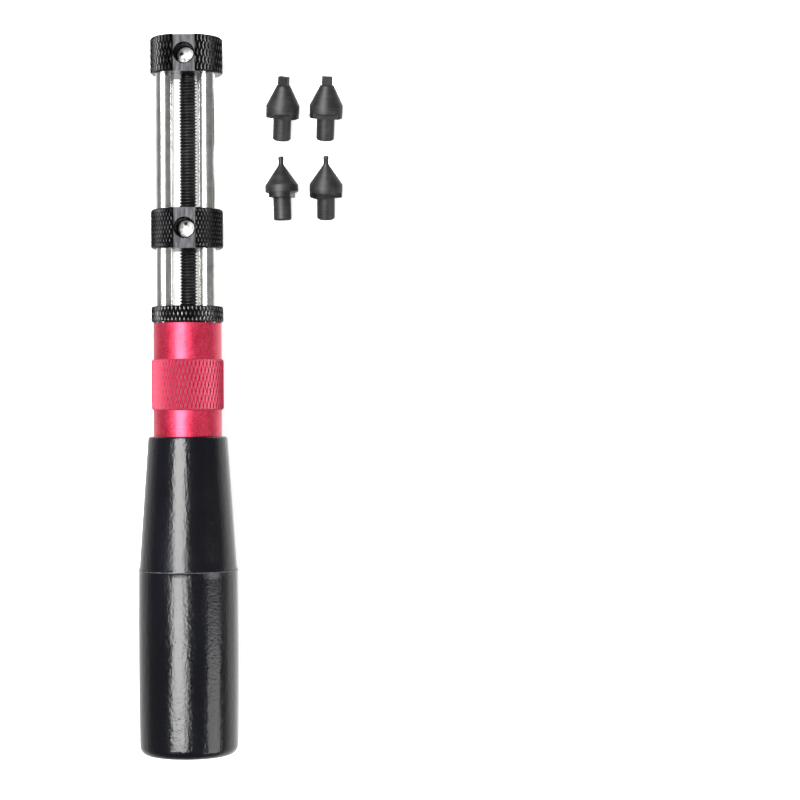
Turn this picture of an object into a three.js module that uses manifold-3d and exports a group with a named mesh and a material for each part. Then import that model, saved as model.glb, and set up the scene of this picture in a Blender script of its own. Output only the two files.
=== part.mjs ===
// Adjustable two-jaw case back opener, with its four loose bits beside it.
// Millimetres, +Z up. The tool's axis is the Y axis: the handle's flat end is at Y = 0,
// the end head is at the far end, and the bit sockets open towards +Z.
// The tool rests on the widest ring of its handle and on the rim of its end head, so
// the table under it rises slightly towards +Y. The loose bits lie on that same table.

import * as THREE from 'three';
import { mergeVertices } from 'three/addons/utils/BufferGeometryUtils.js';
import Module from 'manifold-3d';

const wasm = await Module();
wasm.setup();

// ---- driving dimensions --------------------------------------------------------

const RUN = 0.05; // radial clearance of a running or sliding fit
const SEAT = 0.05; // gap left between two faces that seat on each other
const THROUGH = 1; // how far a cutting tool runs past the face it cuts

// stations along the tool's axis
const HANDLE_END = 0;
const SEAM = 40.5;
const HANDLE_MOUTH = 69.7;
const BAND = [75.45, 86.6];
const POCKET_FLOOR = 90.45;
const FERRULE_TOP = 94.6;
const COLLAR = [94.65, 98.15];
const SLIDER = [110.65, 119.5];
const HEAD = [149.0, 157.0];

// handle
const BUTT_RADIUS = 10.72;
const BUTT_EDGE = 2.0;
const BELLY_STATION = 24;
const BELLY_RADIUS = 10.92;
const SEAM_RADIUS = 10.95;
const SEAM_WIDTH = 1.3;
const SHOULDER_RADIUS = 10.85;
const CONE_FOOT_RADIUS = 10.7;
const MOUTH_RADIUS = 8.7;
const MOUTH_EDGE = 0.6;

// ferrule and the tang that it sends into the handle
const FERRULE_RADIUS = 7.5;
const BAND_RADIUS = 7.9;
const BAND_EDGE = 0.3;
const TANG_RADIUS = 5.5;
const TANG_LENGTH = 24;

// black steel jaws and collar
const JAW_RADIUS = 7.93;
const HEAD_EDGE = 0.4;
const SLIDER_EDGE = 0.8;
const COLLAR_RADIUS = 7.9;
const COLLAR_EDGE = 0.3;
const SLOT_WIDTH = 4.9;
const SLOT_FLOOR = 6.5;
const SOCKET_RADIUS = 2.1;
const SOCKET_DEPTH = 5.2;
const SOCKET_MOUTH = 0.25;
const MAGNET_RADIUS = 1.95;
const MAGNET_THICKNESS = 1.0;

// guide rods
const ROD_RADIUS = 2.0;
const ROD_X = 4.5;
const ROD_Z = 3.0;
const ROD = [78.2, 154.8];

// lead screw, its thumbwheel and the set screw that keeps it in the end head
const SCREW_Z = -3.42;
const THREAD_RADIUS = 1.95;
const THREAD = [90.5, 148.8];
const JOURNAL_RADIUS = 1.5;
const JOURNAL_ENDS = [86.0, 154.8];
const GROOVE_RADIUS = 1.25;
const GROOVE_WIDTH = 2.4;
const WHEEL = [90.55, 94.55];
const WHEEL_RADIUS = 4.3;
const WHEEL_RIBS = 42;
const WHEEL_RIB_DEPTH = 0.35;
const POCKET_RADIUS = 4.6;
const NOTCH_Z = -2.5;
const SET_SCREW = { station: 152.5, z: -2.7, radius: 1.4, tip: 0.9, hex: 0.85 };
const SET_SCREW_X = { tip: 1.35, shoulder: 1.9, socket: 3.6, end: 5.0 };

// bits: the origin of a bit is on its axis, in the plane of its flange's back rim
const FLANGE_RADIUS = 3.7;
const FLANGE_THICKNESS = 1.8;
const CONE_LENGTH = 4.35;
const TENON_WIDTH = 4.8;
const TENON_HEIGHT = 1.0;
const SHANK_RADIUS = 2.0;
const SHANK_LENGTH = 5.1;
const SHANK_EDGE = 0.3;
const TIP_LENGTH = 1.95;
const BLADE = { width: 2.3, thickness: 1.3, coneEnd: 1.45 };
const PIN = { radius: 0.62, coneEnd: 0.8 };

const FINE = 64; // sides of the jaws, collar and ferrule
const GRIP = 48; // sides of the handle
const MEDIUM = 32; // sides of rods, bores and bits

// ---- materials ------------------------------------------------------------------

function finish(color, roughness, metalness) {
  return new THREE.MeshStandardMaterial({ color, roughness, metalness });
}

const handlePlastic = finish(0x17181a, 0.35, 0.0);
const redAnodised = finish(0xb5122f, 0.38, 0.8);
const blackOxide = finish(0x1d1d1f, 0.5, 0.7);
const chrome = finish(0xdcdcdc, 0.12, 1.0);
const nickel = finish(0xe8e8e6, 0.25, 1.0);
const blackThread = finish(0x151516, 0.45, 0.7);
const bitSteel = finish(0x242425, 0.45, 0.8);

// ---- solids ---------------------------------------------------------------------

// A closed geometry as a manifold solid: shared corners are merged and the flat
// triangles that a lathe leaves on its axis are dropped.
function solid(geometry) {
  const plain = geometry.clone();
  plain.deleteAttribute('normal');
  plain.deleteAttribute('uv');
  const merged = mergeVertices(plain, 1e-5);
  const index = merged.index.array;
  const triangles = [];
  for (let i = 0; i < index.length; i += 3) {
    const [a, b, c] = [index[i], index[i + 1], index[i + 2]];
    if (a !== b && b !== c && c !== a) triangles.push(a, b, c);
  }
  return new wasm.Manifold(new wasm.Mesh({
    numProp: 3,
    vertProperties: new Float32Array(merged.attributes.position.array),
    triVerts: new Uint32Array(triangles),
  }));
}

function geometryOf(manifold) {
  const mesh = manifold.getMesh();
  const geometry = new THREE.BufferGeometry();
  geometry.setAttribute('position', new THREE.BufferAttribute(mesh.vertProperties, 3));
  geometry.setIndex(new THREE.BufferAttribute(mesh.triVerts, 1));
  geometry.computeVertexNormals();
  return geometry;
}

function cut(body, tools) {
  return tools.reduce((left, tool) => left.subtract(solid(tool)), solid(body));
}

// A piece turned about the Y axis from [radius, station] pairs, handle side first.
function turned(profile, sides = FINE) {
  return new THREE.LatheGeometry(profile.map(([r, y]) => new THREE.Vector2(r, y)), sides);
}

// A bore or shaft along Y, centred on x and z.
function shaft(radius, [from, to], x = 0, z = 0, sides = MEDIUM) {
  const geometry = new THREE.CylinderGeometry(radius, radius, to - from, sides);
  return geometry.translate(x, (from + to) / 2, z);
}

function block([x0, x1], [y0, y1], [z0, z1]) {
  const geometry = new THREE.BoxGeometry(x1 - x0, y1 - y0, z1 - z0);
  return geometry.translate((x0 + x1) / 2, (y0 + y1) / 2, (z0 + z1) / 2);
}

// Points of a quarter-round edge from angle0 to angle1 about (r, y).
function edgeArc(r, y, radius, angle0, angle1, steps = 3) {
  return Array.from({ length: steps + 1 }, (_, i) => {
    const angle = THREE.MathUtils.degToRad(angle0 + ((angle1 - angle0) * i) / steps);
    return [r + radius * Math.cos(angle), y + radius * Math.sin(angle)];
  });
}

// A plain disc profile with a chamfer on both rims.
function chamferedDisc(radius, [from, to], edge) {
  return [
    [0, from], [radius - edge, from], [radius, from + edge],
    [radius, to - edge], [radius - edge, to], [0, to],
  ];
}

function rodBores(span) {
  return [-ROD_X, ROD_X].map((x) => shaft(ROD_RADIUS + RUN, span, x, ROD_Z));
}

// The slot across a jaw and the socket in its floor, as cutting tools.
function bitSeat([from, to], station) {
  const half = SLOT_WIDTH / 2;
  const slotTop = JAW_RADIUS + THROUGH;
  const slot = block([-half, half], [from - THROUGH, to + THROUGH], [SLOT_FLOOR, slotTop]);
  const bottom = SLOT_FLOOR - SOCKET_DEPTH - MAGNET_THICKNESS;
  const lip = SLOT_FLOOR - SOCKET_MOUTH;
  const socket = turned([
    [0, bottom], [SOCKET_RADIUS, bottom], [SOCKET_RADIUS, lip],
    [SOCKET_RADIUS + SOCKET_MOUTH, SLOT_FLOOR],
    [SOCKET_RADIUS + SOCKET_MOUTH, SLOT_FLOOR + THROUGH], [0, SLOT_FLOOR + THROUGH],
  ], MEDIUM);
  return [slot, socket.rotateX(Math.PI / 2).translate(0, station, 0)];
}

// ---- the pieces -------------------------------------------------------------------

function handle() {
  const boreFloor = HANDLE_MOUTH - TANG_LENGTH - SEAT;
  const belly = new THREE.QuadraticBezierCurve(
    new THREE.Vector2(BUTT_RADIUS, BUTT_EDGE),
    new THREE.Vector2(2 * BELLY_RADIUS - (BUTT_RADIUS + SHOULDER_RADIUS) / 2, BELLY_STATION),
    new THREE.Vector2(SHOULDER_RADIUS, SEAM - SEAM_WIDTH / 2),
  );
  return turned([
    [0, HANDLE_END],
    ...edgeArc(BUTT_RADIUS - BUTT_EDGE, BUTT_EDGE, BUTT_EDGE, -90, 0, 5).slice(0, -1),
    ...belly.getPoints(5).map((p) => [p.x, p.y]),
    [SEAM_RADIUS, SEAM - SEAM_WIDTH / 6],
    [SEAM_RADIUS, SEAM + SEAM_WIDTH / 6],
    [CONE_FOOT_RADIUS, SEAM + SEAM_WIDTH / 2],
    ...edgeArc(MOUTH_RADIUS - MOUTH_EDGE, HANDLE_MOUTH - MOUTH_EDGE, MOUTH_EDGE, 0, 90),
    [TANG_RADIUS + RUN, HANDLE_MOUTH],
    [TANG_RADIUS + RUN, boreFloor],
    [0, boreFloor],
  ], GRIP);
}

function ferrule() {
  const shoulder = HANDLE_MOUTH + SEAT;
  const body = turned([
    [0, shoulder - TANG_LENGTH],
    [TANG_RADIUS, shoulder - TANG_LENGTH],
    [TANG_RADIUS, shoulder],
    [FERRULE_RADIUS, shoulder],
    [FERRULE_RADIUS, BAND[0]],
    [BAND_RADIUS, BAND[0] + BAND_EDGE],
    [BAND_RADIUS, BAND[1] - BAND_EDGE],
    [FERRULE_RADIUS, BAND[1]],
    [FERRULE_RADIUS, FERRULE_TOP],
    [0, FERRULE_TOP],
  ]);
  const past = FERRULE_TOP + THROUGH;
  const wide = FERRULE_RADIUS + THROUGH;
  return geometryOf(cut(body, [
    ...rodBores([ROD[0] - SEAT, past]),
    shaft(JOURNAL_RADIUS + RUN, [JOURNAL_ENDS[0] - SEAT, past], 0, SCREW_Z),
    shaft(POCKET_RADIUS, [POCKET_FLOOR, past], 0, SCREW_Z, FINE),
    block([-wide, wide], [POCKET_FLOOR, past], [-wide, NOTCH_Z]),
  ]));
}

function collar() {
  const span = [COLLAR[0] - THROUGH, COLLAR[1] + THROUGH];
  return geometryOf(cut(turned(chamferedDisc(COLLAR_RADIUS, COLLAR, COLLAR_EDGE)), [
    ...rodBores(span),
    shaft(THREAD_RADIUS + 3 * RUN, span, 0, SCREW_Z),
  ]));
}

function setScrewHole() {
  const reach = JAW_RADIUS + THROUGH;
  const hole = new THREE.CylinderGeometry(
    SET_SCREW.radius + RUN, SET_SCREW.radius + RUN, reach, MEDIUM);
  return hole.rotateZ(-Math.PI / 2).translate(reach / 2, SET_SCREW.station, SET_SCREW.z);
}

function endHead(socketStation) {
  const blind = [HEAD[0] - THROUGH, ROD[1] + SEAT];
  return geometryOf(cut(turned(chamferedDisc(JAW_RADIUS, HEAD, HEAD_EDGE)), [
    ...bitSeat(HEAD, socketStation),
    ...rodBores(blind),
    shaft(JOURNAL_RADIUS + RUN, blind, 0, SCREW_Z),
    setScrewHole(),
  ]));
}

function slider(socketStation) {
  const flat = JAW_RADIUS - SLIDER_EDGE;
  const span = [SLIDER[0] - THROUGH, SLIDER[1] + THROUGH];
  const body = turned([
    [0, SLIDER[0]],
    ...edgeArc(flat, SLIDER[0] + SLIDER_EDGE, SLIDER_EDGE, -90, 0),
    ...edgeArc(flat, SLIDER[1] - SLIDER_EDGE, SLIDER_EDGE, 0, 90),
    [0, SLIDER[1]],
  ]);
  return geometryOf(cut(body, [
    ...bitSeat(SLIDER, socketStation),
    ...rodBores(span),
    shaft(THREAD_RADIUS + 2 * RUN, span, 0, SCREW_Z),
  ]));
}

function magnet(station) {
  const top = SLOT_FLOOR - SOCKET_DEPTH;
  const height = MAGNET_THICKNESS - SEAT;
  const disc = new THREE.CylinderGeometry(MAGNET_RADIUS, MAGNET_RADIUS, height, MEDIUM);
  return disc.rotateX(Math.PI / 2).translate(0, station, top - height / 2);
}

function leadScrew() {
  const middle = SET_SCREW.station;
  const groove = [middle - GROOVE_WIDTH / 2, middle + GROOVE_WIDTH / 2];
  return turned([
    [0, JOURNAL_ENDS[0]],
    [JOURNAL_RADIUS, JOURNAL_ENDS[0]],
    [JOURNAL_RADIUS, THREAD[0]],
    [THREAD_RADIUS, THREAD[0]],
    [THREAD_RADIUS, THREAD[1]],
    [JOURNAL_RADIUS, THREAD[1]],
    [JOURNAL_RADIUS, groove[0]],
    [GROOVE_RADIUS, groove[0]],
    [GROOVE_RADIUS, groove[1]],
    [JOURNAL_RADIUS, groove[1]],
    [JOURNAL_RADIUS, JOURNAL_ENDS[1]],
    [0, JOURNAL_ENDS[1]],
  ], MEDIUM).translate(0, 0, SCREW_Z);
}

function thumbwheel() {
  const outline = new THREE.Shape();
  for (let i = 0; i < 2 * WHEEL_RIBS; i += 1) {
    const angle = (Math.PI * i) / WHEEL_RIBS;
    const radius = i % 2 ? WHEEL_RADIUS - WHEEL_RIB_DEPTH : WHEEL_RADIUS;
    outline[i ? 'lineTo' : 'moveTo'](radius * Math.cos(angle), radius * Math.sin(angle));
  }
  outline.closePath();
  const bore = new THREE.Path();
  bore.absarc(0, 0, THREAD_RADIUS + RUN, 0, 2 * Math.PI, true);
  outline.holes.push(bore);
  const wheel = new THREE.ExtrudeGeometry(outline, {
    depth: WHEEL[1] - WHEEL[0], bevelEnabled: false, curveSegments: MEDIUM,
  });
  return wheel.rotateX(-Math.PI / 2).translate(0, WHEEL[0], SCREW_Z);
}

function setScrew() {
  const { radius, tip, hex, station, z } = SET_SCREW;
  const body = turned([
    [0, SET_SCREW_X.tip], [tip, SET_SCREW_X.tip], [tip, SET_SCREW_X.shoulder],
    [radius, SET_SCREW_X.shoulder], [radius, SET_SCREW_X.end], [0, SET_SCREW_X.end],
  ], MEDIUM);
  const socket = shaft(hex, [SET_SCREW_X.socket, SET_SCREW_X.end + THROUGH], 0, 0, 6);
  return geometryOf(cut(body, [socket]).rotate([0, 0, -90]).translate([0, station, z]));
}

// The turned body, the keyed tenon under the flange, and the blade or pin at the tip.
function bit(kind) {
  const end = -TENON_HEIGHT - SHANK_LENGTH;
  const coneTop = FLANGE_THICKNESS + CONE_LENGTH;
  const tipTop = coneTop + TIP_LENGTH;
  const tipProfile = kind === 'wide'
    ? [[BLADE.coneEnd, coneTop]]
    : [[PIN.coneEnd, coneTop - 0.2], [PIN.radius, coneTop], [PIN.radius, tipTop]];
  const core = solid(turned([
    [0, end], [SHANK_RADIUS - SHANK_EDGE, end], [SHANK_RADIUS, end + SHANK_EDGE],
    [SHANK_RADIUS, 0], [FLANGE_RADIUS, 0], [FLANGE_RADIUS, FLANGE_THICKNESS],
    ...tipProfile, [0, tipProfile.at(-1)[1]],
  ], MEDIUM));
  const tenonSpan = [-TENON_HEIGHT, FLANGE_THICKNESS / 2];
  const half = TENON_WIDTH / 2;
  const tenonBlock = block([-FLANGE_RADIUS, FLANGE_RADIUS], tenonSpan, [-half, half]);
  const tenon = solid(tenonBlock).intersect(solid(shaft(FLANGE_RADIUS, tenonSpan)));
  if (kind === 'pin') return geometryOf(core.add(tenon));
  const [w, t] = [BLADE.width / 2, BLADE.thickness / 2];
  const blade = block([-w, w], [coneTop - THROUGH, tipTop], [-t, t]);
  return geometryOf(core.add(tenon).add(solid(blade)));
}

// ---- assembly ---------------------------------------------------------------------

const group = new THREE.Group();
group.name = 'case_back_opener';

function add(name, geometry, material, parent = group) {
  const mesh = new THREE.Mesh(geometry, material);
  mesh.name = name;
  parent.add(mesh);
  return mesh;
}

const headSocket = (HEAD[0] + HEAD[1]) / 2;
const sliderSocket = (SLIDER[0] + SLIDER[1]) / 2;

add('handle', handle(), handlePlastic);
add('ferrule', ferrule(), redAnodised);
add('collar', collar(), blackOxide);
add('end_head', endHead(headSocket), blackOxide);
add('head_magnet', magnet(headSocket), nickel);
add('journal_set_screw', setScrew(), blackOxide);
add('guide_rod_left', shaft(ROD_RADIUS, ROD, -ROD_X, ROD_Z), chrome);
add('guide_rod_right', shaft(ROD_RADIUS, ROD, ROD_X, ROD_Z), chrome);
add('lead_screw', leadScrew(), blackThread);
add('thumbwheel', thumbwheel(), blackOxide);
add('slider', slider(sliderSocket), blackOxide);
add('slider_magnet', magnet(sliderSocket), nickel);

// The table touches the handle's seam ring and the rim of the end head.
const headRim = HEAD[1] - HEAD_EDGE;
const tableSlope = Math.atan2(SEAM_RADIUS - JAW_RADIUS, headRim - SEAM);
const table = new THREE.Group();
table.position.set(0, SEAM, -SEAM_RADIUS);
table.rotation.x = tableSlope;
group.add(table);

// A bit lies on its flange's back rim and the end of its shank, with its tip raised,
// unless its tenon is turned down: then it lies level on the flange and the tenon.
const shankRun = TENON_HEIGHT + SHANK_LENGTH - SHANK_EDGE;
const restTilt = Math.atan2(FLANGE_RADIUS - SHANK_RADIUS, shankRun);

function layBit(name, kind, { x, y, roll, yaw, tilt = restTilt }) {
  const mesh = add(name, bit(kind), bitSteel, table);
  mesh.rotation.order = 'ZXY';
  const { degToRad } = THREE.MathUtils;
  mesh.rotation.set(tilt, degToRad(roll), degToRad(yaw));
  mesh.position.set(x, y - SEAM, FLANGE_RADIUS * Math.cos(tilt));
}

layBit('wide_bit_left', 'wide', { x: 20.85, y: 141.3, roll: -20, yaw: -3.3 });
layBit('wide_bit_right', 'wide', { x: 30.45, y: 141.3, roll: 0, yaw: -3.0 });
layBit('pin_bit_left', 'pin', { x: 20.6, y: 123.6, roll: 81, yaw: 1.4, tilt: 0 });
layBit('pin_bit_right', 'pin', { x: 30.35, y: 123.8, roll: 20, yaw: -0.9 });

export default group;
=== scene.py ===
import math

import bmesh
import bpy
import numpy as np
from mathutils import Euler, Matrix, Vector


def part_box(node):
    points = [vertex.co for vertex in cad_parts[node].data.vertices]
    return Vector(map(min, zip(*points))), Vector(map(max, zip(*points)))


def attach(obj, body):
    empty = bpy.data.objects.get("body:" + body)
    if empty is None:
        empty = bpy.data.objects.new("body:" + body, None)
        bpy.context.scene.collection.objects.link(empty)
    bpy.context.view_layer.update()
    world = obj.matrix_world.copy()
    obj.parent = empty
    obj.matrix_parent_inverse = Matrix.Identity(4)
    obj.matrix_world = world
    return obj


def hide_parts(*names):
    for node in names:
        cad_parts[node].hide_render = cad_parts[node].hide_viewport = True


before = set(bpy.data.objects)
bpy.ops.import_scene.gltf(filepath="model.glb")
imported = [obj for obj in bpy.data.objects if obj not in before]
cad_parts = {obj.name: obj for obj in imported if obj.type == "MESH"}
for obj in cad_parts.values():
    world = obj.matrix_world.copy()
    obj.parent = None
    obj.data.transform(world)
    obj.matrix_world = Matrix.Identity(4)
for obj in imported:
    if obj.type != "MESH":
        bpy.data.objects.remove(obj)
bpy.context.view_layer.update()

MM = 0.001
FULL_TURN = 2 * math.pi


# ---- sizes, in millimetres: places come from the frame, fine detail is set here --------


def corners(node):
    """Lowest and highest corner of a CAD node in millimetres."""
    low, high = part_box(node)
    return np.array(low) / MM, np.array(high) / MM


handle_low, handle_high = corners("handle")
ferrule_high = corners("ferrule")[1]
collar_low, collar_high = corners("collar")
slider_low, slider_high = corners("slider")
head_low, head_high = corners("end_head")
rod_low, rod_high = corners("guide_rod_right")
screw_low, screw_high = corners("lead_screw")
wheel_low, wheel_high = corners("thumbwheel")
head_magnet_low, head_magnet_high = corners("head_magnet")
slider_magnet_low, slider_magnet_high = corners("slider_magnet")
grub_low, grub_high = corners("journal_set_screw")

# The handle swells from its butt to the mould seam, then narrows to its mouth as a cone.
SEAM = 40.5
SEAM_UNEVEN = 0.03
SEAM_RADIUS = handle_high[0]
BUTT_RADIUS = 10.72
BUTT_EDGE = 2.0
BELLY_RADIUS = 10.9
SHOULDER_RADIUS = 10.82
CONE_FOOT_RADIUS = 10.66
MOUTH_RADIUS = 8.7
MOUTH_EDGE = 0.6

# The ferrule: a plain sleeve, a knurled band and a pocket that the thumbwheel turns in.
FERRULE_RADIUS = 7.5
FERRULE_HIDDEN = 2.4
BAND = (75.45, 86.6)
BAND_RADIUS = ferrule_high[0]
POCKET_FLOOR = 90.45
POCKET_RADIUS = 4.6
NOTCH_Z = -2.5

# The end head and the slider share a slot and a bit socket.
JAW_RADIUS = head_high[0]
SLOT_HALF = 2.45
SLOT_FLOOR = 6.5
SLOT_LIP = 7.42
SOCKET_RADIUS = 2.1
SOCKET_MOUTH = 0.25
HEAD_CHAMFER = 0.4
SLIDER_ROUND = 0.8
COLLAR_CHAMFER = 0.3
SET_SCREW_HOLE_RADIUS = 1.45

ROD_X = (rod_low[0] + rod_high[0]) / 2
ROD_Z = (rod_low[2] + rod_high[2]) / 2
ROD_RADIUS = (rod_high[0] - rod_low[0]) / 2
SCREW_Z = (screw_low[2] + screw_high[2]) / 2
THREAD_RADIUS = (screw_high[0] - screw_low[0]) / 2
THREAD = (90.5, 148.8)
THREAD_PITCH = 0.7
THREAD_DEPTH = 0.42
JOURNAL_RADIUS = 1.5

# The running clearance all round a rod, a journal or a magnet.
GAP = 0.05


# ---- mesh tools --------------------------------------------------------------------------


def mesh_object(name, points, faces):
    """A mesh object from points in millimetres, with its faces turned outwards."""
    mesh = bpy.data.meshes.new(name)
    mesh.from_pydata((np.asarray(points, float) * MM).tolist(), [], faces)
    work = bmesh.new()
    work.from_mesh(mesh)
    bmesh.ops.remove_doubles(work, verts=work.verts, dist=1e-7)
    bmesh.ops.dissolve_degenerate(work, edges=work.edges, dist=1e-8)
    bmesh.ops.recalc_face_normals(work, faces=work.faces)
    work.to_mesh(mesh)
    work.free()
    piece = bpy.data.objects.new(name, mesh)
    bpy.context.scene.collection.objects.link(piece)
    return piece


def ring_surface(name, radii, stations, x=0.0, z=0.0, centres=None):
    """A closed body turned about an axis along Y.

    radii has a row for each ring and a column for each side. stations has a value for
    each ring, or one for each point. centres holds the exact radius at each quad's
    middle, which picks the diagonal that a crease runs along.
    """
    radii = np.asarray(radii, float)
    rows, sides = radii.shape
    stations = np.asarray(stations, float)
    if stations.ndim == 1:
        stations = np.repeat(stations[:, None], sides, axis=1)
    angle = FULL_TURN * np.arange(sides) / sides
    points = np.stack(
        [x + radii * np.sin(angle), stations, z + radii * np.cos(angle)], axis=-1
    ).reshape(-1, 3)
    first = len(points)
    ends = [[x, stations[0].mean(), z], [x, stations[-1].mean(), z]]
    points = np.vstack([points, ends])
    faces = []
    for i in range(rows - 1):
        row, next_row = i * sides, (i + 1) * sides
        for j in range(sides):
            k = (j + 1) % sides
            a, b, c, d = row + j, row + k, next_row + k, next_row + j
            if centres is None:
                faces.append((a, b, c, d))
                continue
            middle = centres[i, j]
            along = abs((radii[i, j] + radii[i + 1, k]) / 2 - middle)
            across = abs((radii[i, k] + radii[i + 1, j]) / 2 - middle)
            split = ((a, b, c), (a, c, d)) if along <= across else ((a, b, d), (b, c, d))
            faces.extend(split)
    for j in range(sides):
        k = (j + 1) % sides
        faces.append((first, k, j))
        faces.append((first + 1, (rows - 1) * sides + j, (rows - 1) * sides + k))
    return mesh_object(name, points, faces)


def turned(name, profile, sides=128, x=0.0, z=0.0):
    """A turned body from (radius, station) pairs."""
    radii = np.repeat(np.array([[r] for r, _ in profile]), sides, axis=1)
    return ring_surface(name, radii, [y for _, y in profile], x, z)


def prism(name, outline, low, high):
    """An (x, z) outline swept along Y."""
    count = len(outline)
    points = [(x, y, z) for y in (low, high) for x, z in outline]
    faces = [tuple(range(count)), tuple(range(2 * count - 1, count - 1, -1))]
    for i in range(count):
        j = (i + 1) % count
        faces.append((i, j, count + j, count + i))
    return mesh_object(name, points, faces)


def boolean(piece, tool, operation):
    """Joins the tool to the piece or cuts it away, and uses the tool up."""
    modifier = piece.modifiers.new("boolean", "BOOLEAN")
    modifier.operation = operation
    modifier.solver = "MANIFOLD"
    modifier.object = tool
    graph = bpy.context.evaluated_depsgraph_get()
    result = bpy.data.meshes.new_from_object(piece.evaluated_get(graph))
    piece.modifiers.clear()
    piece.data = result
    bpy.data.objects.remove(tool)


def cut(piece, *tools):
    for tool in tools:
        boolean(piece, tool, "DIFFERENCE")


def join(piece, *tools):
    for tool in tools:
        boolean(piece, tool, "UNION")


def move(piece, spot, axis, degrees):
    """Turns a piece about an axis, then shifts it by spot, in millimetres."""
    shift = Matrix.Translation([v * MM for v in spot])
    piece.data.transform(shift @ Matrix.Rotation(math.radians(degrees), 4, axis))


def shade(piece, degrees=32):
    """Smooth shading, with a crisp edge wherever two faces meet more sharply."""
    limit = math.radians(degrees)
    work = bmesh.new()
    work.from_mesh(piece.data)
    bmesh.ops.remove_doubles(work, verts=work.verts, dist=1e-7)
    for face in work.faces:
        face.smooth = True
    for edge in work.edges:
        edge.smooth = edge.is_manifold and edge.calc_face_angle(0) < limit
    work.to_mesh(piece.data)
    work.free()


def place(piece, body, node, material, degrees=32):
    """Finishes a piece that stands for a CAD node."""
    shade(piece, degrees)
    piece.data.materials.clear()
    piece.data.materials.append(material)
    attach(piece, body)
    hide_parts(node)


def rounded(radius, low, high, edge, steps=4):
    """Profile of a disc or shaft whose two rims are rounded."""
    angles = np.linspace(0, math.pi / 2, steps + 1)
    flat = radius - edge
    start = [(flat + edge * math.sin(a), low + edge * (1 - math.cos(a))) for a in angles]
    end = [(flat + edge * math.cos(a), high - edge * (1 - math.sin(a))) for a in angles]
    return start + end


# ---- knurls and the thread ---------------------------------------------------------------


def wave(value):
    """A triangle wave: 0 on a line and 1 halfway between two lines."""
    return 1 - np.abs(2 * np.mod(value, 1) - 1)


def knurl_depth(angle, station, knurl):
    """How far the surface lies below the crests at an angle and a station.

    Most knurls are raised diamonds. A netted one has raised lines round sunk diamonds.
    """
    around = angle / FULL_TURN * knurl["count"]
    along = station / knurl["period"]
    from_line = np.minimum(wave(around + along), wave(around - along))
    share = np.sin(np.minimum(1, from_line / knurl["flank"]) * math.pi / 2)
    return knurl["depth"] * (share if knurl.get("netted") else 1 - share)


def knurl_rows(knurl, low, high, margin):
    """Stations one sample apart, from the middle of a span to margin short of its ends."""
    step = knurl["period"] / knurl["samples"]
    reach = int((high - low) / 2 / step)
    rows = (low + high) / 2 + step * np.arange(-reach, reach + 1)
    return rows[(rows > low + margin) & (rows < high - margin)]


def knurl_surface(name, knurl, stations, radius_at):
    """A turned body with the radius radius_at(angles, stations), sampled for a knurl."""
    sides = knurl["count"] * knurl["samples"]
    angle = FULL_TURN * np.arange(sides) / sides
    between_angles = angle + FULL_TURN / sides / 2
    between_stations = (stations[1:] + stations[:-1]) / 2
    return ring_surface(
        name,
        radius_at(*np.meshgrid(angle, stations)),
        stations,
        centres=radius_at(*np.meshgrid(between_angles, between_stations)),
    )


def knurled(name, radius, low, high, knurl, inset, edge):
    """A disc with a diamond knurl. inset(d) is how far the rim is cut back at d from an end."""
    margin = edge + knurl["period"] / knurl["samples"] / 4
    rim = edge * (1 - np.cos(np.linspace(0, math.pi / 2, 6)))
    rows = knurl_rows(knurl, low, high, margin)
    stations = np.concatenate([low + rim, rows, high - rim[::-1]])

    def radius_at(angles, ys):
        crest = radius - inset(np.minimum(ys - low, high - ys))
        return np.minimum(radius - knurl_depth(angles, ys - (low + high) / 2, knurl), crest)

    return knurl_surface(name, knurl, stations, radius_at)


def chamfer_inset(edge):
    """The rim of a disc with an edge cut off at 45 degrees."""
    return lambda d: np.maximum(edge - d, 0)


def round_inset(edge):
    """The rim of a disc with an edge rounded to a quarter circle."""
    return lambda d: edge - np.sqrt(np.maximum(edge**2 - np.maximum(edge - d, 0) ** 2, 0))


# count is how many diamonds go round and period is their length in millimetres. flank is how
# much of the way from a line to the middle of a diamond slopes. samples is mesh steps a diamond.
HEAD_KNURL = {"count": 53, "period": 3.1, "depth": 0.34, "flank": 0.72, "samples": 6}
COLLAR_KNURL = {"count": 53, "period": 2.4, "depth": 0.34, "flank": 0.8, "samples": 6}
SLIDER_KNURL = {"count": 60, "period": 1.9, "depth": 0.3, "flank": 0.95, "samples": 6}
BAND_KNURL = {
    "count": 56, "period": 3.05, "depth": 0.34, "flank": 0.7, "samples": 6, "netted": True,
}


def thread(name, radius, low, high):
    """A right-handed thread: the rows follow the helix, and are held back to flat ends."""
    sides, samples = 48, 8
    crest_to_crest = [0.0, 0.1, 0.45, 0.55, 0.9, 1.0]
    heights = [1.0, 1.0, 0.0, 0.0, 1.0, 1.0]
    sampled = np.interp(np.arange(samples + 1) / samples, crest_to_crest, heights)
    angle = FULL_TURN * np.arange(sides) / sides
    turns = int((high - low) / THREAD_PITCH) + 3
    rows = np.arange(-samples, turns * samples)
    y = low + THREAD_PITCH * (rows[:, None] / samples + angle[None, :] / FULL_TURN)
    held = np.clip(y, low, high)
    phase = np.mod((held - low) / THREAD_PITCH - angle[None, :] / FULL_TURN, 1)
    height = np.interp(phase * samples, np.arange(samples + 1), sampled)
    lead = np.clip(np.minimum(held - low, high - held) / THREAD_PITCH, 0, 1)
    radii = radius - THREAD_DEPTH * (1 - height * lead)
    return helix_body(name, radii, held, samples)


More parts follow.
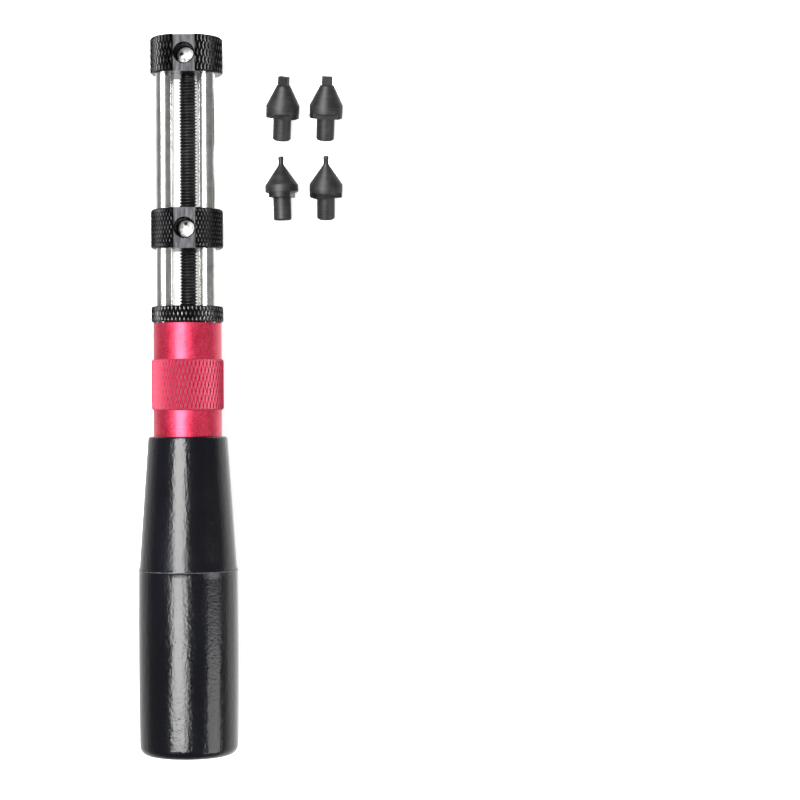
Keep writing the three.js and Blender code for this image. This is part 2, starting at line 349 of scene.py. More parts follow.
def helix_body(name, radii, stations, samples):
    """A closed body whose rows climb by one thread for each turn."""
    rows, sides = radii.shape
    angle = FULL_TURN * np.arange(sides) / sides
    points = np.stack(
        [radii * np.sin(angle), stations, SCREW_Z + radii * np.cos(angle)], axis=-1
    ).reshape(-1, 3)

    def index(i, j):
        """Past the last column the surface goes on one thread further up."""
        return (i + samples) * sides if j == sides else i * sides + j

    faces = []
    for i in range(rows - 1 - samples):
        for j in range(sides):
            faces.append((index(i, j), index(i, j + 1), index(i + 1, j + 1), index(i + 1, j)))
    last = rows - 1 - samples
    seam_low = [index(i, 0) for i in range(samples + 1)]
    seam_high = [index(i, 0) for i in range(last, rows)]
    ring_low = [index(0, j) for j in range(sides)] + [seam_low[-1]]
    ring_high = [index(last, j) for j in range(sides)] + [seam_high[-1]]
    low_centre, high_centre = len(points), len(points) + 1
    ends = [[0, stations.min(), SCREW_Z], [0, stations.max(), SCREW_Z]]
    points = np.vstack([points, ends])
    for rim, centre in (
        (ring_low, low_centre), (ring_high, high_centre),
        (seam_low, low_centre), (seam_high, high_centre),
    ):
        faces.extend((centre, a, b) for a, b in zip(rim, rim[1:]))
    return mesh_object(name, points, faces)


# ---- materials ---------------------------------------------------------------------------


class Look:
    """A Principled material with short ways to add procedural detail."""

    def __init__(self, name, color, metallic, roughness):
        self.material = bpy.data.materials.new(name)
        self.material.use_nodes = True
        self.nodes = self.material.node_tree.nodes
        self.links = self.material.node_tree.links
        self.shader = self.nodes["Principled BSDF"]
        self.shader.inputs["Base Color"].default_value = (*color, 1)
        self.shader.inputs["Metallic"].default_value = metallic
        self.shader.inputs["Roughness"].default_value = roughness
        self.point = self.nodes.new("ShaderNodeTexCoord").outputs["Object"]

    def node(self, kind, **inputs):
        made = self.nodes.new(kind)
        for key, value in inputs.items():
            self.set(made.inputs[key], value)
        return made

    def set(self, socket, value):
        """Links a socket to another node's output, or gives it a constant."""
        if isinstance(value, bpy.types.NodeSocket):
            self.links.new(value, socket)
        else:
            socket.default_value = value

    def stretched(self, scale):
        """Coordinates scaled by (x, y, z), so that a grain can run along the piece."""
        mapping = self.node("ShaderNodeMapping", Vector=self.point)
        mapping.inputs["Scale"].default_value = scale
        return mapping.outputs["Vector"]

    def noise(self, size, detail=3.0, stretch=(1, 1, 1), roughness=0.55):
        """Noise whose blotches are about size millimetres across."""
        made = self.node("ShaderNodeTexNoise", Vector=self.stretched(stretch))
        made.inputs["Scale"].default_value = 1 / (size * MM)
        made.inputs["Detail"].default_value = detail
        made.inputs["Roughness"].default_value = roughness
        return made.outputs["Fac"]

    def remap(self, value, low, high, to_low, to_high, smooth=False):
        """Takes the span low to high to the span to_low to to_high, held at its ends."""
        made = self.nodes.new("ShaderNodeMapRange")
        made.interpolation_type = "SMOOTHSTEP" if smooth else "LINEAR"
        for key, v in zip(
            ("Value", "From Min", "From Max", "To Min", "To Max"),
            (value, low, high, to_low, to_high),
        ):
            self.set(made.inputs[key], v)
        return made.outputs["Result"]

    def math(self, operation, a, b=0.0):
        made = self.nodes.new("ShaderNodeMath")
        made.operation = operation
        self.set(made.inputs[0], a)
        self.set(made.inputs[1], b)
        return made.outputs["Value"]

    def blend(self, share, a, b):
        """The colour a where share is 0, and b where it is 1."""
        made = self.nodes.new("ShaderNodeMix")
        made.data_type = "RGBA"
        self.set(made.inputs["Factor"], share)
        for socket, color in ((made.inputs[6], a), (made.inputs[7], b)):
            self.set(socket, (*color, 1) if isinstance(color, tuple) else color)
        return made.outputs[2]

    def bump(self, height, strength, distance):
        """Adds a bump of that distance in millimetres, on top of any bump set before."""
        made = self.node("ShaderNodeBump", Height=height)
        made.inputs["Strength"].default_value = strength
        made.inputs["Distance"].default_value = distance * MM
        normal = self.shader.inputs["Normal"]
        if normal.is_linked:
            self.links.new(normal.links[0].from_socket, made.inputs["Normal"])
        self.links.new(made.outputs["Normal"], normal)

    def base(self, value):
        self.set(self.shader.inputs["Base Color"], value)

    def tint(self, value, low, high, dark, light):
        """A base colour that runs from dark to light as value goes from low to high."""
        self.base(self.blend(self.remap(value, low, high, 0.0, 1.0), dark, light))

    def rough(self, value, low, high, smoothest, roughest):
        """A roughness that rises as value goes from low to high."""
        self.set(self.shader.inputs["Roughness"], self.remap(value, low, high, smoothest, roughest))

    def mix(self, a, b, share):
        """The value a, with that share of it replaced by b."""
        kept = self.math("MULTIPLY", a, 1 - share)
        return self.math("ADD", kept, self.math("MULTIPLY", b, share))

    def radius_from_axis(self):
        """Distance from the tool's axis in millimetres."""
        split = self.node("ShaderNodeSeparateXYZ", Vector=self.point)
        squares = self.math(
            "ADD",
            self.math("POWER", split.outputs["X"], 2.0),
            self.math("POWER", split.outputs["Z"], 2.0),
        )
        return self.math("MULTIPLY", self.math("SQRT", squares), 1 / MM)


def handle_plastic():
    """Glossy black plastic whose surface ripples a little and has an orange-peel grain."""
    look = Look("moulded_black_plastic", (0.001, 0.0011, 0.0014), 0.0, 0.2)
    smudge = look.noise(9.0, 4.0, (1, 0.35, 1))
    fine = look.noise(0.7, 3.0)
    look.rough(look.mix(smudge, fine, 0.4), 0.35, 0.65, 0.13, 0.25)
    look.tint(smudge, 0.45, 0.75, (0.0006, 0.0008, 0.0022), (0.0014, 0.0017, 0.004))
    look.bump(look.noise(2.6, 3.0, (1, 0.1, 1)), 0.6, 0.12)
    look.bump(look.noise(1.1, 1.0, (1, 0.5, 1)), 0.6, 0.06)
    look.bump(look.noise(0.55, 1.0, roughness=0.7), 1.0, 0.045)
    return look.material


def seam_highlight_plastic():
    """The moulding line, painted pale in patches: a painted highlight along the flash."""
    look = Look("moulding_line_painted_highlight", (0.02, 0.02, 0.022), 0.0, 0.45)
    pale_patches = look.noise(1.2, 4.0, roughness=0.7)
    look.tint(pale_patches, 0.42, 0.6, (0.006, 0.0062, 0.007), (0.075, 0.077, 0.082))
    look.bump(look.noise(0.3, 3.0), 0.5, 0.03)
    return look.material


def red_anodised(name, darker, lighter, metallic, roughness, coat, crests=None):
    """Anodised aluminium with a fine blasted grain between a darker and a lighter red.

    crests is the radius of the band's crests: the red then deepens towards its grooves as painted
    shade, lighter on the crests.
    """
    look = Look(name, darker, metallic, roughness)
    look.shader.inputs["Coat Weight"].default_value = coat
    look.shader.inputs["Coat Roughness"].default_value = 0.26
    grain = look.noise(0.4, 4.0, roughness=0.7)
    cloud = look.noise(3.0, 3.0)
    tone = look.mix(grain, cloud, 0.3)
    if crests is None:
        look.tint(tone, 0.38, 0.62, darker, lighter)
    else:
        # Painted shade: the red darkens from the crests down into the grooves.
        groove = crests - BAND_KNURL["depth"]
        height = look.remap(look.radius_from_axis(), groove, crests - 0.02, 0.0, 1.3)
        share = look.math("MULTIPLY", height, look.remap(tone, 0.38, 0.62, 0.7, 1.0))
        look.base(look.blend(share, darker, lighter))
    look.rough(grain, 0.3, 0.7, roughness - 0.06, roughness + 0.08)
    look.bump(grain, 0.6, 0.04)
    return look.material


def blackened(name, metallic, roughness, tone):
    """Blackened steel, as a Look that can be added to. tone is its mean brightness."""
    look = Look(name, (tone, tone, tone * 1.05), metallic, roughness)
    grain = look.noise(0.25, 4.0, roughness=0.6)
    cloud = look.noise(2.4, 3.0)
    look.rough(look.math("ADD", grain, cloud), 0.7, 1.3, roughness - 0.07, roughness + 0.09)
    dark, light = tone * 0.7, tone * 1.3
    look.tint(cloud, 0.35, 0.65, (dark, dark, dark * 1.05), (light, light, light * 1.05))
    look.bump(grain, 0.3, 0.012)
    return look


def black_oxide(name, roughness, tone):
    return blackened(name, 0.8, roughness, tone).material


def worn_black_oxide(name, crests, tone, bright):
    """Blackened steel that is rubbed bright on its knurl's crests and machined in its slot.

    crests is the radius of the crests, and bright is how bright they are rubbed.
    """
    look = blackened(name, 1.0, 0.32, tone)
    black = look.shader.inputs["Base Color"].links[0].from_socket
    wear = look.noise(0.25, 4.0, roughness=0.6)
    crest = look.remap(look.radius_from_axis(), crests - 0.14, crests - 0.01, 0.0, 1.0, True)
    rubbed = look.math("MULTIPLY", crest, look.remap(wear, 0.4, 0.62, 0.1, 1.0))
    surface = look.blend(rubbed, black, (bright, bright, bright * 1.03))

    split = look.node("ShaderNodeSeparateXYZ", Vector=look.point)
    height = look.math("MULTIPLY", split.outputs["Z"], 1 / MM)
    off_floor = look.math("ABSOLUTE", look.math("SUBTRACT", height, SLOT_FLOOR))
    off_middle = look.math("MULTIPLY", look.math("ABSOLUTE", split.outputs["X"]), 1 / MM)
    second_finish = look.math(
        "MULTIPLY",
        look.remap(off_floor, 0.02, 0.05, 1.0, 0.0),
        look.remap(off_middle, SLOT_HALF + 0.01, SLOT_HALF + 0.05, 1.0, 0.0),
    )
    marks = look.noise(0.4, 4.0, (1, 0.12, 1), 0.7)
    streaks = look.remap(marks, 0.38, 0.62, 0.0, 1.0)
    metal = look.blend(streaks, (0.016, 0.016, 0.0175), (0.046, 0.046, 0.048))
    look.base(look.blend(second_finish, surface, metal))
    look.bump(marks, 0.3, 0.01)
    return look.material


def chrome():
    """Bright plating over a rod that was drawn along its length."""
    look = Look("polished_chrome", (0.74, 0.74, 0.73), 1.0, 0.16)
    drawn = look.noise(0.5, 3.0, (1, 0.02, 1))
    look.rough(drawn, 0.35, 0.7, 0.17, 0.28)
    look.tint(look.noise(2.5, 4.0), 0.4, 0.7, (0.78, 0.78, 0.76), (0.6, 0.6, 0.585))
    look.bump(drawn, 0.15, 0.006)
    return look.material


def nickel(name, centre, mark):
    """Scuffed nickel plate with one dark fleck at mark, an (x, y) offset from centre."""
    look = Look(name, (0.4, 0.4, 0.4), 0.9, 0.45)
    scuff = look.noise(0.7, 5.0, roughness=0.7)
    look.rough(scuff, 0.35, 0.65, 0.3, 0.55)
    scuffed = look.remap(scuff, 0.52, 0.68, 0.0, 1.0)
    plate = look.blend(scuffed, (0.42, 0.42, 0.41), (0.06, 0.06, 0.058))

    offset = look.node("ShaderNodeVectorMath", Vector=look.point)
    offset.operation = "DISTANCE"
    fleck_at = ((centre[0] + mark[0]) * MM, (centre[1] + mark[1]) * MM, centre[2] * MM)
    offset.inputs[1].default_value = fleck_at
    distance = look.math("MULTIPLY", offset.outputs["Value"], 1 / MM)
    ragged = look.math("ADD", distance, look.remap(look.noise(0.4, 3.0), 0.3, 0.7, -0.2, 0.2))
    fleck = look.remap(ragged, 0.25, 0.55, 1.0, 0.0, smooth=True)
    look.base(look.blend(fleck, plate, (0.006, 0.006, 0.006)))
    look.bump(scuff, 0.4, 0.03)
    return look.material


def bit_steel():
    """Dark hardened steel with the fine rings that turning leaves."""
    look = Look("dark_bit_steel", (0.04, 0.04, 0.041), 0.7, 0.34)
    grain = look.noise(0.2, 4.0, roughness=0.7)
    cloud = look.noise(2.0, 3.0)
    rings = look.noise(0.3, 3.0, (0.06, 1, 0.06), 0.65)
    mixed = look.mix(cloud, grain, 0.5)
    look.rough(mixed, 0.35, 0.65, 0.42, 0.56)
    look.tint(look.mix(rings, mixed, 0.65), 0.38, 0.62, (0.02, 0.02, 0.021), (0.05, 0.049, 0.048))
    look.bump(rings, 0.35, 0.014)
    look.bump(grain, 0.4, 0.016)
    return look.material


plastic = handle_plastic()
# Painted highlight: pale patches along the handle's moulding line.
seam_painted_highlight = seam_highlight_plastic()
red = red_anodised(
    "red_anodised_sleeve", (0.42, 0.011, 0.036), (0.66, 0.042, 0.1),
    metallic=0.82, roughness=0.4, coat=0.3,
)
# The band's darker red is painted shade in the grooves; its lighter red is on the crests.
red_knurl = red_anodised(
    "red_anodised_knurl", (0.17, 0.009, 0.026), (0.52, 0.027, 0.076),
    metallic=0.1, roughness=0.62, coat=0.12, crests=BAND_RADIUS,
)
black_knurl = worn_black_oxide("black_oxide_knurl", JAW_RADIUS, 0.013, 0.09)
collar_knurl = worn_black_oxide("black_oxide_collar", collar_high[0], 0.026, 0.16)
black_wheel = black_oxide("black_oxide_wheel", 0.32, 0.015)
black_screw = black_oxide("black_oxide_thread", 0.36, 0.05)
# Painted shade: a near-black finish for the walls inside the bit sockets.
socket_painted_shade = black_oxide("painted_shade_socket", 0.6, 0.004)
rod_chrome = chrome()
steel = bit_steel()
# A darker steel: painted shade on the bits' tenons under their flanges; the wide bits' blades take
# the same darker steel.
tenon_shade_and_blade_steel = black_oxide("bit_steel_tenon_shade_and_blade", 0.42, 0.024)


# ---- cutters, which reach a little past the faces that they cut through -------------------


def blind_bore(radius, bottom, mouth, x, z):
    """A plain bore along Y."""
    return turned("cutter", [(radius, bottom), (radius, mouth)], 64, x, z)


def through_bore(radius, low, high, x, z, mouth):
    """A bore along Y, countersunk at both ends."""
    profile = [
        (radius + mouth, low - 1), (radius + mouth, low), (radius, low + mouth),
        (radius, high - mouth), (radius + mouth, high), (radius + mouth, high + 1),
    ]
    return turned("cutter", profile, 64, x, z)


def slot_cutter(low, high):
    """The slot that a bit's tenon drops into, with a chamfer at its lips."""
    half, top = SLOT_HALF, JAW_RADIUS + 1
    wide = half + top - SLOT_LIP
    outline = [
        (-half, SLOT_FLOOR), (half, SLOT_FLOOR), (half, SLOT_LIP),
        (wide, top), (-wide, top), (-half, SLOT_LIP),
    ]
    return prism("cutter", outline, low - 1, high + 1)


def socket_cutter(station, bottom):
    """The round socket that a bit's shank drops into."""
    profile = [
        (SOCKET_RADIUS, bottom), (SOCKET_RADIUS, SLOT_FLOOR - SOCKET_MOUTH),
        (SOCKET_RADIUS + SOCKET_MOUTH, SLOT_FLOOR),
        (SOCKET_RADIUS + SOCKET_MOUTH, SLOT_FLOOR + 1.5),
    ]
    tool = turned("cutter", profile, 64)
    move(tool, (0, station, 0), "X", 90)
    return tool


def set_screw_cutter(station, height):
    """The side hole that the set screw sits in."""
    radius = SET_SCREW_HOLE_RADIUS
    tool = turned("cutter", [(radius, 0), (radius, JAW_RADIUS + 1)], 48)
    move(tool, (0, station, height), "Z", -90)
    return tool


# ---- the tool's pieces -------------------------------------------------------------------


def refinish(piece, material, chosen):
    """Gives a second finish to the faces whose middle, in millimetres, is chosen."""
    piece.data.materials.append(material)
    for face in piece.data.polygons:
        if chosen(*(face.center / MM)):
            face.material_index = 1


def paint_socket_shade(piece, station):
    """The walls of a bit socket are painted near-black as painted shade: little light gets out of
    it.
    """
    reach = SOCKET_RADIUS + SOCKET_MOUTH / 2
    top = SLOT_FLOOR - SOCKET_MOUTH
    refinish(
        piece, socket_painted_shade,
        lambda x, y, z: math.hypot(x, y - station) < reach and 0 < z < top,
    )


def make_handle():
    """The grip, from its rounded butt to the mouth that the ferrule goes into."""
    low, high = handle_low[1], handle_high[1]
    butt = [
        (BUTT_RADIUS - BUTT_EDGE * (1 - math.sin(a)), low + BUTT_EDGE * (1 - math.cos(a)))
        for a in np.linspace(0, math.pi / 2, 13)
    ]
    t = np.linspace(0, 1, 28)[1:]
    control = 2 * BELLY_RADIUS - (BUTT_RADIUS + SHOULDER_RADIUS) / 2
    belly_r = (1 - t) ** 2 * BUTT_RADIUS + 2 * t * (1 - t) * control + t**2 * SHOULDER_RADIUS
    belly = list(zip(belly_r, BUTT_EDGE + t * (SEAM - 0.25 - BUTT_EDGE)))
    # The parting ridge rises steeply from the belly and runs out gently on to the cone.
    ridge = [
        (SHOULDER_RADIUS + 0.02, SEAM - 0.2), (SEAM_RADIUS - 0.02, SEAM - 0.1),
        (SEAM_RADIUS - 0.02, SEAM + 0.02), (CONE_FOOT_RADIUS + 0.02, SEAM + 0.52),
    ]
    cone_foot, cone_top = SEAM + 0.56, high - MOUTH_EDGE
    taper = MOUTH_RADIUS - CONE_FOOT_RADIUS
    cone = [
        (CONE_FOOT_RADIUS + taper * s, cone_foot + (cone_top - cone_foot) * s)
        for s in np.linspace(0, 1, 16)
    ]
    mouth = [
        (MOUTH_RADIUS - MOUTH_EDGE * (1 - math.cos(a)), cone_top + MOUTH_EDGE * math.sin(a))
        for a in np.linspace(0, math.pi / 2, 9)[1:]
    ]
    inside = [
        (FERRULE_RADIUS + 0.12, high), (FERRULE_RADIUS + 0.05, high - 0.2),
        (FERRULE_RADIUS + 0.05, high - FERRULE_HIDDEN - 0.1),
    ]
    profile = np.array([*butt, *belly, *ridge, *cone, *mouth, *inside])
    sides = 256
    radii = np.repeat(profile[:, :1], sides, axis=1)
    angle = FULL_TURN * np.arange(sides) / sides
    uneven = np.sin(9 * angle) + np.sin(23 * angle + 1) + np.sin(41 * angle + 2)
    crest = len(butt) + len(belly) + 1
    radii[crest:crest + 2] += SEAM_UNEVEN * (uneven / 3 - 1)
    piece = ring_surface("handle_grip", radii, profile[:, 1])
    place(piece, "tool_body", "handle", plastic, 40)
    # The moulding line gets pale patches, a painted highlight on the flash.
    refinish(piece, seam_painted_highlight, lambda x, y, z: abs(y - SEAM) < 0.18)


def make_ferrule():
    """The red sleeve, with its knurled band, and the pocket and notch for the thumbwheel."""
    low, high = handle_high[1] - FERRULE_HIDDEN, ferrule_high[1]
    band_low, band_high = BAND
    slope, chamfer = 0.2, 0.15
    stations = np.concatenate([
        [low, band_low - 0.01, band_low + slope],
        knurl_rows(BAND_KNURL, band_low, band_high, slope),
        [band_high - slope, band_high + 0.01, high - chamfer, high],
    ])

    def radius_at(angles, ys):
        depth = knurl_depth(angles, ys - (band_low + band_high) / 2, BAND_KNURL)
        plain = FERRULE_RADIUS - chamfer + np.clip(high - ys, 0, chamfer)
        return np.where((ys > band_low) & (ys < band_high), BAND_RADIUS - depth, plain)

    piece = knurl_surface("ferrule_sleeve", BAND_KNURL, stations, radius_at)
    wide = FERRULE_RADIUS + 1
    notch = [(-wide, -wide), (wide, -wide), (wide, NOTCH_Z), (-wide, NOTCH_Z)]
    cut(
        piece,
        blind_bore(POCKET_RADIUS, POCKET_FLOOR, high + 1, 0, SCREW_Z),
        prism("cutter", notch, POCKET_FLOOR, high + 1),
        blind_bore(ROD_RADIUS + GAP, rod_low[1] - GAP, high + 1, -ROD_X, ROD_Z),
        blind_bore(ROD_RADIUS + GAP, rod_low[1] - GAP, high + 1, ROD_X, ROD_Z),
        blind_bore(JOURNAL_RADIUS + GAP, screw_low[1] - GAP, high + 1, 0, SCREW_Z),
    )
    place(piece, "tool_body", "ferrule", red, 28)
    refinish(
        piece, red_knurl,
        lambda x, y, z: band_low < y < band_high and math.hypot(x, z) > FERRULE_RADIUS,
    )


def make_collar():
    """The disc that the rods pass through, in front of the thumbwheel."""
    low, high = collar_low[1], collar_high[1]
    piece = knurled(
        "knurled_collar", collar_high[0], low, high, COLLAR_KNURL,
        chamfer_inset(COLLAR_CHAMFER), COLLAR_CHAMFER,
    )
    cut(
        piece,
        through_bore(ROD_RADIUS + GAP, low, high, -ROD_X, ROD_Z, 0.1),
        through_bore(ROD_RADIUS + GAP, low, high, ROD_X, ROD_Z, 0.1),
        through_bore(THREAD_RADIUS + 2 * GAP, low, high, 0, SCREW_Z, 0.25),
    )
    place(piece, "tool_body", "collar", collar_knurl, 28)


def make_head():
    """The fixed jaw at the end of the rods."""
    low, high = head_low[1], head_high[1]
    station = (low + high) / 2
    grub_middle = (grub_low + grub_high) / 2
    piece = knurled(
        "knurled_end_head", JAW_RADIUS, low, high, HEAD_KNURL,
        chamfer_inset(HEAD_CHAMFER), HEAD_CHAMFER,
    )
    cut(
        piece,
        slot_cutter(low, high),
        socket_cutter(station, head_magnet_low[2] - GAP),
        blind_bore(ROD_RADIUS + GAP, low - 1, rod_high[1] + GAP, -ROD_X, ROD_Z),
        blind_bore(ROD_RADIUS + GAP, low - 1, rod_high[1] + GAP, ROD_X, ROD_Z),
        blind_bore(JOURNAL_RADIUS + GAP, low - 1, screw_high[1] + GAP, 0, SCREW_Z),
        set_screw_cutter(grub_middle[1], grub_middle[2]),
    )
    place(piece, "tool_body", "end_head", black_knurl, 28)
    # The socket walls get painted shade.
    paint_socket_shade(piece, station)


def make_slider():
    """The movable jaw, which slides on the rods."""
    low, high = slider_low[1], slider_high[1]
    station = (low + high) / 2
    piece = knurled(
        "knurled_slider", JAW_RADIUS, low, high, SLIDER_KNURL,
        round_inset(SLIDER_ROUND), SLIDER_ROUND,
    )
    cut(
        piece,
        slot_cutter(low, high),
        socket_cutter(station, slider_magnet_low[2] - GAP),
        through_bore(ROD_RADIUS + GAP, low, high, -ROD_X, ROD_Z, 0.2),
        through_bore(ROD_RADIUS + GAP, low, high, ROD_X, ROD_Z, 0.2),
        through_bore(THREAD_RADIUS + GAP, low, high, 0, SCREW_Z, 0.2),
    )
    place(piece, "jaw", "slider", black_knurl, 28)
    # The socket walls get painted shade.
    paint_socket_shade(piece, station)


def make_magnet(name, node, body, low, high, mark):
    """The disc at the bottom of a bit socket. mark places its dark fleck."""
    station = (low[1] + high[1]) / 2
    radius = (high[0] - low[0]) / 2
    piece = turned(name, rounded(radius, low[2], high[2], 0.12), 96)
    move(piece, (0, station, 0), "X", 90)
    finish = nickel(name + "_nickel", (0, station, high[2]), mark)
    place(piece, body, node, finish)


def make_rod(name, node, x):
    """A guide rod."""
    piece = turned(name, rounded(ROD_RADIUS, rod_low[1], rod_high[1], 0.25), 128, x, ROD_Z)
    place(piece, "tool_body", node, rod_chrome)


def make_screw():
    """The lead screw; the set screw's tip runs in the groove of its front journal."""
    thread_low, thread_high = THREAD
    middle = (grub_low[1] + grub_high[1]) / 2
    groove_low, groove_high, groove_radius = middle - 1.2, middle + 1.2, 1.25
    back = [(JOURNAL_RADIUS, screw_low[1]), (JOURNAL_RADIUS, thread_low + 1)]
    front = [
        (JOURNAL_RADIUS, thread_high - 1), (JOURNAL_RADIUS, groove_low),
        (groove_radius, groove_low), (groove_radius, groove_high),
        (JOURNAL_RADIUS, groove_high), (JOURNAL_RADIUS, screw_high[1]),
    ]
    piece = thread("threaded_lead_screw", THREAD_RADIUS, thread_low, thread_high)
    join(piece, turned("join", back, 64, 0, SCREW_Z), turned("join", front, 64, 0, SCREW_Z))
    place(piece, "screw", "lead_screw", black_screw, 25)


def make_wheel():
    """The thumbwheel, pressed on to the screw, with straight ribs and chamfered rims."""
    ribs, samples, depth, flank, chamfer = 42, 8, 0.36, 0.55, 0.3
    low, high = wheel_low[1], wheel_high[1]
    radius = (wheel_high[0] - wheel_low[0]) / 2
    angle = FULL_TURN * np.arange(ribs * samples) / (ribs * samples)
    rib = np.minimum(1, wave(angle / FULL_TURN * ribs) / flank)
    rows = np.array([low, low + chamfer, high - chamfer, high])
    crest = np.array([radius - chamfer, radius, radius, radius - chamfer])
    radii = np.minimum(radius - depth * (1 - rib)[None, :], crest[:, None])
    piece = ring_surface("ribbed_thumbwheel", radii, rows, 0, SCREW_Z)
    cut(piece, through_bore(THREAD_RADIUS + 0.02, low, high, 0, SCREW_Z, 0.1))
    place(piece, "screw", "thumbwheel", black_wheel, 25)


def make_set_screw():
    """A headless screw with a hexagonal socket and a plain tip."""
    tip, head = grub_low[0], grub_high[0]
    middle = (grub_low + grub_high) / 2
    tip_radius, radius, shoulder = 0.9, 1.4, 1.9
    profile = [
        (tip_radius - 0.2, tip), (tip_radius, tip + 0.2), (tip_radius, shoulder),
        (radius - 0.2, shoulder), (radius, shoulder + 0.2), (radius, head - 0.25),
        (radius - 0.25, head),
    ]
    piece = turned("socket_set_screw", profile, 48)
    hex_radius, hex_floor = 0.85, 3.6
    cut(piece, turned("cutter", [(hex_radius, hex_floor), (hex_radius, head + 1)], sides=6))
    move(piece, (0, middle[1], middle[2]), "Z", -90)
    place(piece, "tool_body", "journal_set_screw", black_wheel)


# ---- the loose bits, which lie on the table beside the tool -------------------------------

FLANGE_RADIUS = 3.7
FLANGE_THICKNESS = 1.8
CONE_LENGTH = 4.35
TENON_HALF = 2.4
TENON_HEIGHT = 1.0
SHANK_RADIUS = 2.0
SHANK_LENGTH = 5.1
SHANK_EDGE = 0.3
TIP_LENGTH = 1.95

# The tool lies on its seam and on the head's rim, so the table slopes in its frame.
TABLE_SLOPE = math.atan2(SEAM_RADIUS - JAW_RADIUS, head_high[1] - HEAD_CHAMFER - SEAM)
TABLE = Matrix.Translation(Vector((0, SEAM, -SEAM_RADIUS)) * MM)
TABLE = TABLE @ Matrix.Rotation(TABLE_SLOPE, 4, "X")

# A bit lies on its flange and on the end of its shank.
REST_TILT = math.atan2(FLANGE_RADIUS - SHANK_RADIUS, TENON_HEIGHT + SHANK_LENGTH - SHANK_EDGE)


def block(half_x, half_z, low, high):
    """A rectangular bar along Y."""
    outline = [(-half_x, -half_z), (half_x, -half_z), (half_x, half_z), (-half_x, half_z)]
    return prism("join", outline, low, high)


def bit_body(kind):
    """A bit that stands along Y, with the back of its flange at 0."""
    end = -TENON_HEIGHT - SHANK_LENGTH
    cone_top = FLANGE_THICKNESS + CONE_LENGTH
    tip_top = cone_top + TIP_LENGTH
    shank = [(SHANK_RADIUS - SHANK_EDGE, end), (SHANK_RADIUS, end + SHANK_EDGE), (SHANK_RADIUS, 0)]
    flange = [
        (FLANGE_RADIUS - 0.4, 0), (FLANGE_RADIUS, 0.25),
        (FLANGE_RADIUS, FLANGE_THICKNESS - 0.15), (FLANGE_RADIUS - 0.08, FLANGE_THICKNESS),
    ]
    if kind == "wide":
        tip = [(1.5, cone_top - 0.05), (1.4, cone_top)]
    else:
        tip = [
            (0.95, cone_top - 0.45), (0.65, cone_top), (0.57, cone_top + 0.3),
            (0.56, tip_top - 0.95), (0.62, tip_top - 0.6), (0.62, tip_top - 0.3),
            (0.45, tip_top),
        ]
    piece = turned("bit", shank + flange + tip, 96)
    tenon = block(FLANGE_RADIUS, TENON_HALF, -TENON_HEIGHT, FLANGE_THICKNESS / 2)
    reach = FLANGE_RADIUS - 0.02
    disc = turned("cutter", [(reach, -TENON_HEIGHT - 1), (reach, FLANGE_THICKNESS)], 96)
    boolean(tenon, disc, "INTERSECT")
    join(piece, tenon)
    if kind == "wide":
        join(piece, block(1.15, 0.65, cone_top - 1, tip_top))
    return piece


def lay_bit(kind, side, x, y, roll, yaw, tilt=REST_TILT):
    """Lays a bit on the table; x and y place the back of its flange.

    roll turns it about its own length and yaw turns it on the table, both in degrees.
    """
    node = f"{kind}_bit_{side}"
    piece = bit_body(kind)
    piece.name = f"{kind}_tip_bit_{side}"
    turn = Matrix.Rotation(math.radians(yaw), 4, "Z") @ Matrix.Rotation(tilt, 4, "X")
    turn = turn @ Matrix.Rotation(math.radians(roll), 4, "Y")
    spot = Vector((x, y - SEAM, FLANGE_RADIUS * math.cos(tilt))) * MM
    pose = TABLE @ Matrix.Translation(spot) @ turn
    piece.data.transform(pose)
    place(piece, node, node, steel, 30)
    to_bit = pose.inverted()

    # Painted shade: the tenon under the flange gets the darker steel; a wide bit's blade gets the
    # same darker steel.
    def second_finish(x, y, z):
        along = (to_bit @ (Vector((x, y, z)) * MM)).y / MM
        blade = kind == "wide" and along > FLANGE_THICKNESS + CONE_LENGTH + 0.1
        return blade or -TENON_HEIGHT - 0.05 < along < 0.15

    refinish(piece, tenon_shade_and_blade_steel, second_finish)


make_handle()
make_ferrule()
make_collar()
make_head()
make_slider()
make_magnet(
    "head_socket_magnet", "head_magnet", "tool_body",
    head_magnet_low, head_magnet_high, mark=(-0.85, 0.35),
)
make_magnet(
    "slider_socket_magnet", "slider_magnet", "jaw",
    slider_magnet_low, slider_magnet_high, mark=(-0.1, 1.2),
)
make_rod("rod_left", "guide_rod_left", -ROD_X)
make_rod("rod_right", "guide_rod_right", ROD_X)
make_screw()
make_wheel()
make_set_screw()
lay_bit("wide", "left", x=20.85, y=141.3, roll=-20, yaw=-3.3)
lay_bit("wide", "right", x=30.45, y=141.3, roll=0, yaw=-3.0)
lay_bit("pin", "left", x=20.6, y=123.6, roll=81, yaw=1.4, tilt=0.0)
lay_bit("pin", "right", x=30.35, y=123.8, roll=20, yaw=-0.9)


# ---- floor, lights and camera ------------------------------------------------------------


def make_floor():
    """The table: pale, and unseen in reflections, which show the world instead."""
    reach = 3000
    points = [(-reach, -reach, 0), (reach, -reach, 0), (reach, reach, 0), (-reach, reach, 0)]
    floor = mesh_object("floor", points, [(0, 1, 2, 3)])
    floor.matrix_world = TABLE
    look = Look("pale_floor", (0.8, 0.8, 0.8), 0.0, 0.9)
    look.shader.inputs["Specular IOR Level"].default_value = 0.0
    look.shader.inputs["Emission Color"].default_value = (1, 1, 1, 1)
    look.shader.inputs["Emission Strength"].default_value = 0.76
    floor.data.materials.append(look.material)
    floor.visible_glossy = False


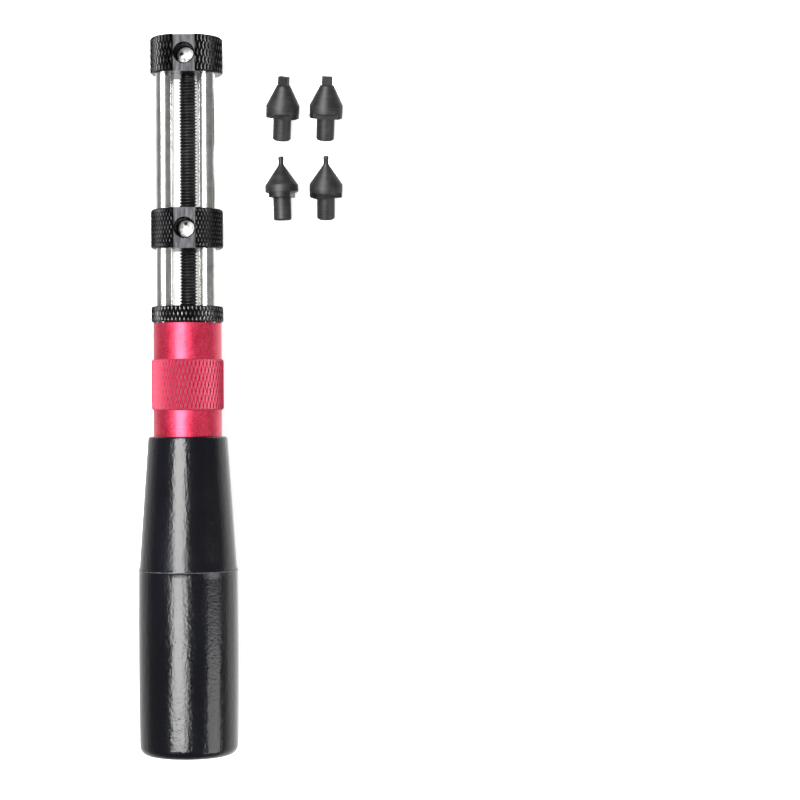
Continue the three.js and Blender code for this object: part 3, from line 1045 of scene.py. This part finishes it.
def make_panel(name, centre, size, radiance, tilt=0.0):
    """A soft rectangular light that faces down and then tilts about Y, in degrees.

    size is (across the tool, along the tool) in millimetres.
    """
    data = bpy.data.lights.new(name, "AREA")
    data.shape = "RECTANGLE"
    data.size, data.size_y = size[0] * MM, size[1] * MM
    data.energy = radiance * math.pi * data.size * data.size_y
    panel = bpy.data.objects.new(name, data)
    bpy.context.scene.collection.objects.link(panel)
    panel.location = Vector(centre) * MM
    panel.rotation_euler = Euler((0, math.radians(tilt), 0))


def make_world(above, below, horizon):
    """Dim studio walls over a paler table, which is brightest near the horizon on the +X side."""
    world = bpy.data.worlds.new("studio")
    world.use_nodes = True
    nodes, links = world.node_tree.nodes, world.node_tree.links
    split = nodes.new("ShaderNodeSeparateXYZ")
    links.new(nodes.new("ShaderNodeTexCoord").outputs["Generated"], split.inputs["Vector"])

    def ramp(axis, start, end, low, high):
        made = nodes.new("ShaderNodeMapRange")
        made.interpolation_type = "SMOOTHSTEP"
        keys = "From Min", "From Max", "To Min", "To Max"
        for key, value in zip(keys, (start, end, low, high)):
            made.inputs[key].default_value = value
        links.new(split.outputs[axis], made.inputs["Value"])
        return made.outputs["Result"]

    def combine(operation, a, b):
        made = nodes.new("ShaderNodeMath")
        made.operation = operation
        links.new(a, made.inputs[0])
        links.new(b, made.inputs[1])
        return made.outputs["Value"]

    near = combine("MULTIPLY", ramp("Z", 0.02, -0.5, 0, horizon), ramp("X", -0.9, 0.9, 0.7, 1.3))
    strength = combine("ADD", ramp("Z", -0.4, -0.9, above, below), near)
    background = nodes["Background"]
    background.inputs["Color"].default_value = (1, 1, 1, 1)
    links.new(strength, background.inputs["Strength"])
    bpy.context.scene.world = world


def make_camera():
    """Looks straight down from a little to the +X side of the tool, as in the photo."""
    data = bpy.data.cameras.new("camera")
    data.sensor_width = 36
    data.lens = 103.94
    data.clip_start, data.clip_end = 0.01, 20
    camera = bpy.data.objects.new("camera", data)
    bpy.context.scene.collection.objects.link(camera)
    camera.location = Vector((46.58, 77.46, 507)) * MM
    camera.rotation_euler = Euler((0, 0, math.radians(-0.25)))
    bpy.context.scene.camera = camera


make_floor()
make_panel("key_panel", centre=(-262, 385, 700), size=(436, 1130), radiance=13)
make_panel("low_panel", centre=(5, -85, 700), size=(98, 190), radiance=6)
make_panel("side_panel", centre=(545, -235, 250), size=(370, 430), radiance=3.5, tilt=65)
make_world(above=0.23, below=0.5, horizon=0.85)
make_camera()
bpy.context.scene.view_settings.view_transform = "Standard"
